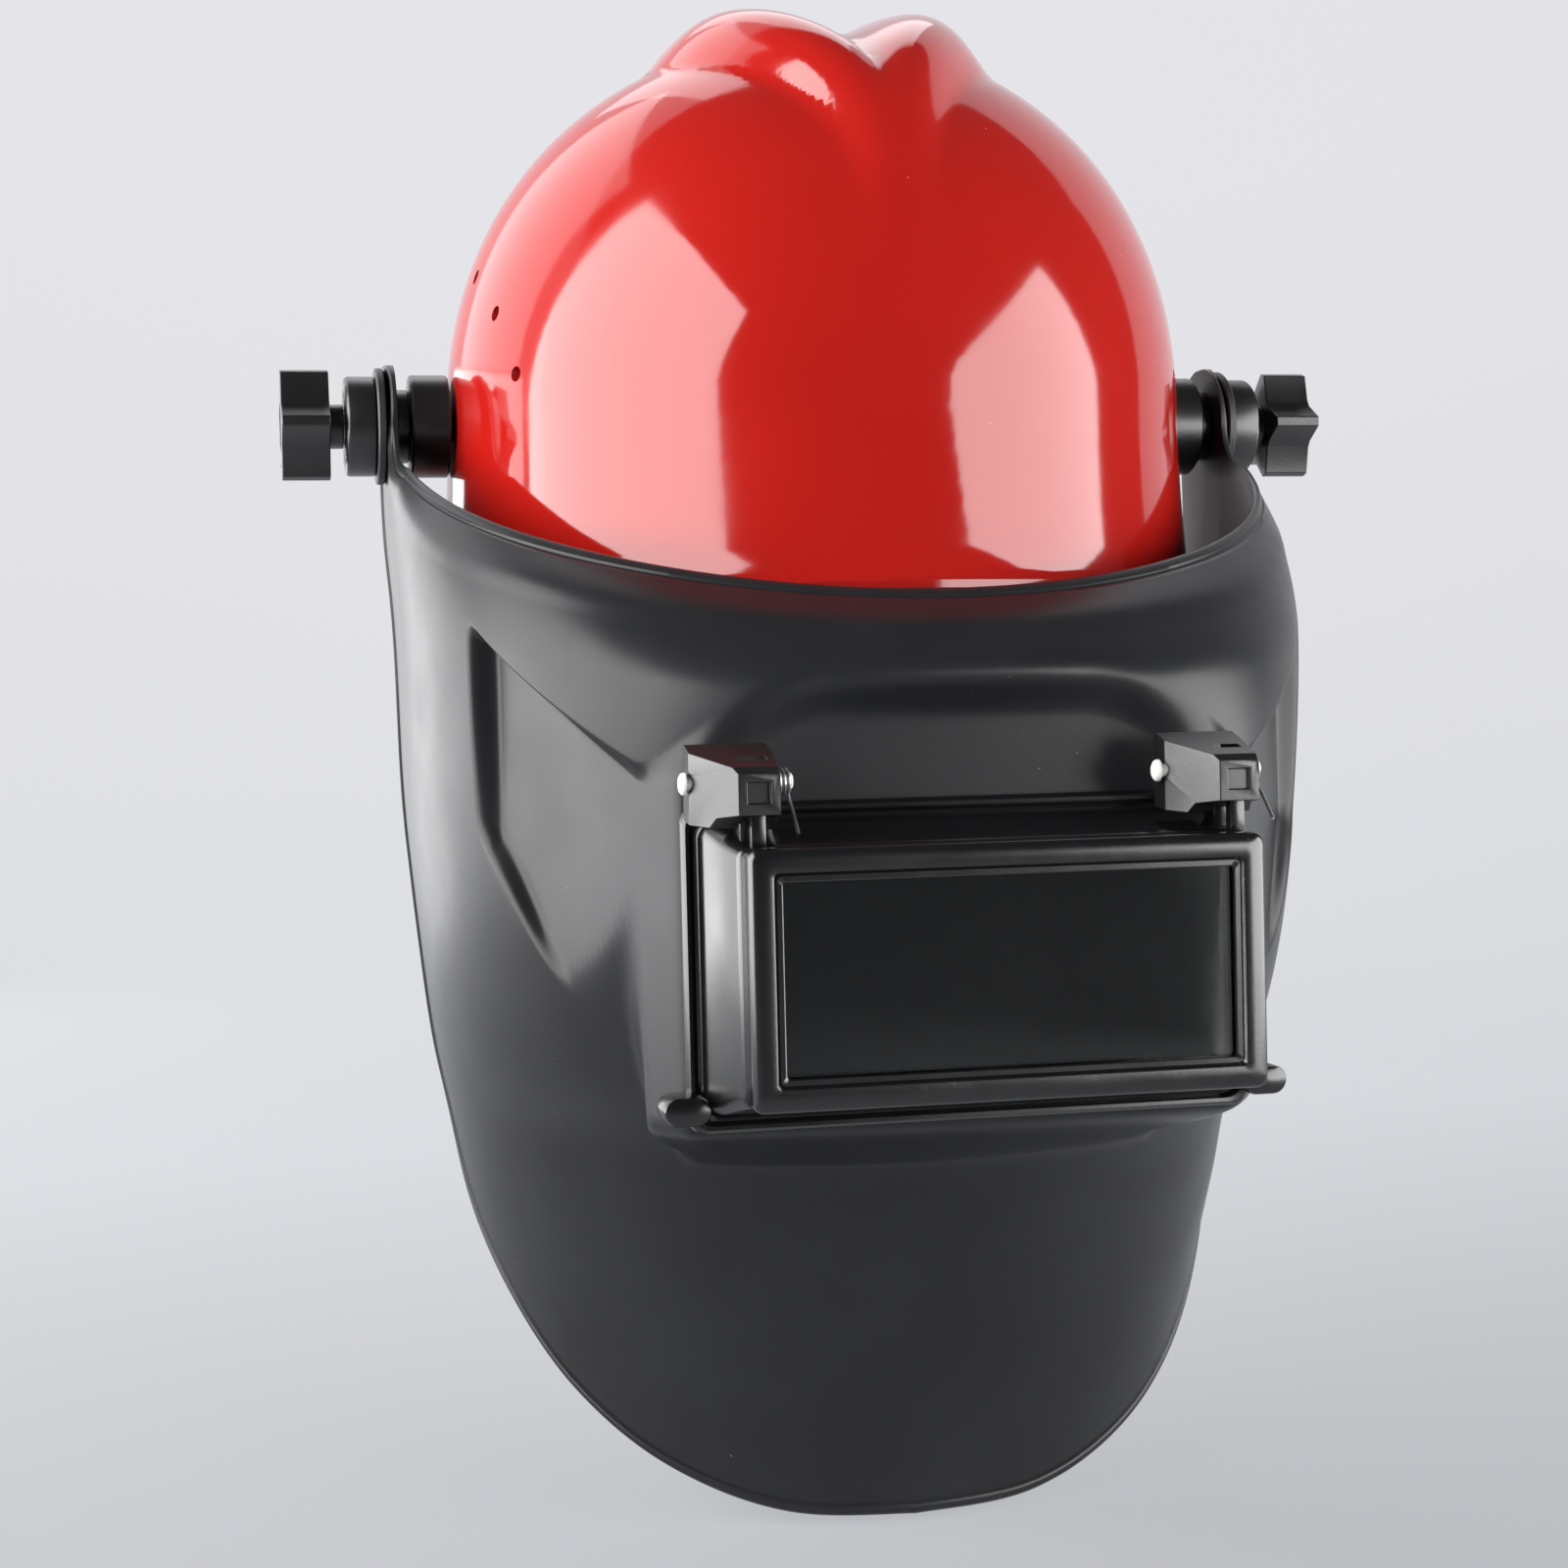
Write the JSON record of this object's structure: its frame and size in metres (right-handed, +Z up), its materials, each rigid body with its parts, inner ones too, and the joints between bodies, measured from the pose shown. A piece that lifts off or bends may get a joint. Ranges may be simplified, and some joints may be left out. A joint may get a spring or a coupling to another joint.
{
  "type": "welding helmet",
  "caption": "Safety helmet shell carrying a deep curved face mask on two side knobs, with a rectangular flip-up filter window and a head harness.",
  "frame": {"origin": "middle of the mask's pivot axis, in the middle of the wearer's head", "axes": "+X towards the wearer's left, +Y towards the back of the head, so the wearer faces -Y, +Z up"},
  "size_m": [0.284, 0.307, 0.3805],
  "materials": {
    "shell_red": "polished gloss",
    "mask_black": "satin",
    "frame_black": "semi gloss",
    "fitting_black": "moulded satin",
    "suspension_black": "matte",
    "filter_glass": "polished, nearly opaque",
    "clear_plate": "polished, clear",
    "pin_white": "satin",
    "steel": "turned",
    "brass": "turned",
    "gasket_rubber": "matte",
    "foam": "soft foam with a matte face",
    "webbing": "woven"
  },
  "bodies": {
    "helmet": {"helmet_shell": "shell_red", "pivot_boss_left": "fitting_black", "pivot_boss_right": "fitting_black", "pivot_spacer_left": "fitting_black", "pivot_spacer_right": "fitting_black", "friction_washer_left": "suspension_black", "friction_washer_right": "suspension_black", "pressure_disc_left": "fitting_black", "pressure_disc_right": "fitting_black", "pivot_bolt_left": "steel", "pivot_bolt_right": "steel", "headband": "suspension_black", "sweatband": "foam", "crown_strap_lower": "webbing", "crown_strap_upper": "webbing", "suspension_key_front_left": "suspension_black", "suspension_key_front_right": "suspension_black", "suspension_key_rear_left": "suspension_black", "suspension_key_rear_right": "suspension_black", "ratchet_housing": "suspension_black", "ratchet_cover": "suspension_black", "nape_pad": "foam"},
    "mask": {"face_mask": "mask_black", "window_housing": "frame_black", "safety_plate": "clear_plate", "safety_plate_retainer": "fitting_black", "clamp_frame": "fitting_black", "hinge_pin_left": "pin_white", "hinge_pin_right": "pin_white", "hinge_spring_left": "steel", "hinge_spring_right": "steel"},
    "flip_front": {"flip_frame": "frame_black", "cover_plate": "clear_plate", "filter_gasket": "gasket_rubber", "filter_glass": "filter_glass", "filter_retainer": "steel", "hinge_arm_left": "fitting_black", "hinge_arm_right": "fitting_black"},
    "knob_left": {"star_knob_left": "fitting_black", "knob_insert_left": "brass"},
    "knob_right": {"star_knob_right": "fitting_black", "knob_insert_right": "brass"},
    "ratchet": {"ratchet_knob": "fitting_black", "ratchet_pinion": "steel"}
  },
  "joints": [
    {"name": "mask_tilt", "type": "hinge", "parent": "helmet", "child": "mask", "pos_m": [0, 0, 0], "axis": [-1, 0, 0], "range_deg": [0, 80]},
    {"name": "lens_flip", "type": "hinge", "parent": "mask", "child": "flip_front", "pos_m": [0, -0.16, -0.092], "axis": [-1, 0, 0], "range_deg": [0, 90]},
    {"name": "knob_left_spin", "type": "hinge", "parent": "helmet", "child": "knob_left", "pos_m": [0.136, 0, 0], "axis": [1, 0, 0], "continuous": true},
    {"name": "knob_right_spin", "type": "hinge", "parent": "helmet", "child": "knob_right", "pos_m": [-0.136, 0, 0], "axis": [-1, 0, 0], "continuous": true},
    {"name": "ratchet_spin", "type": "hinge", "parent": "helmet", "child": "ratchet", "pos_m": [0, 0.118, -0.076], "axis": [0, 1, 0], "continuous": true}
  ]
}
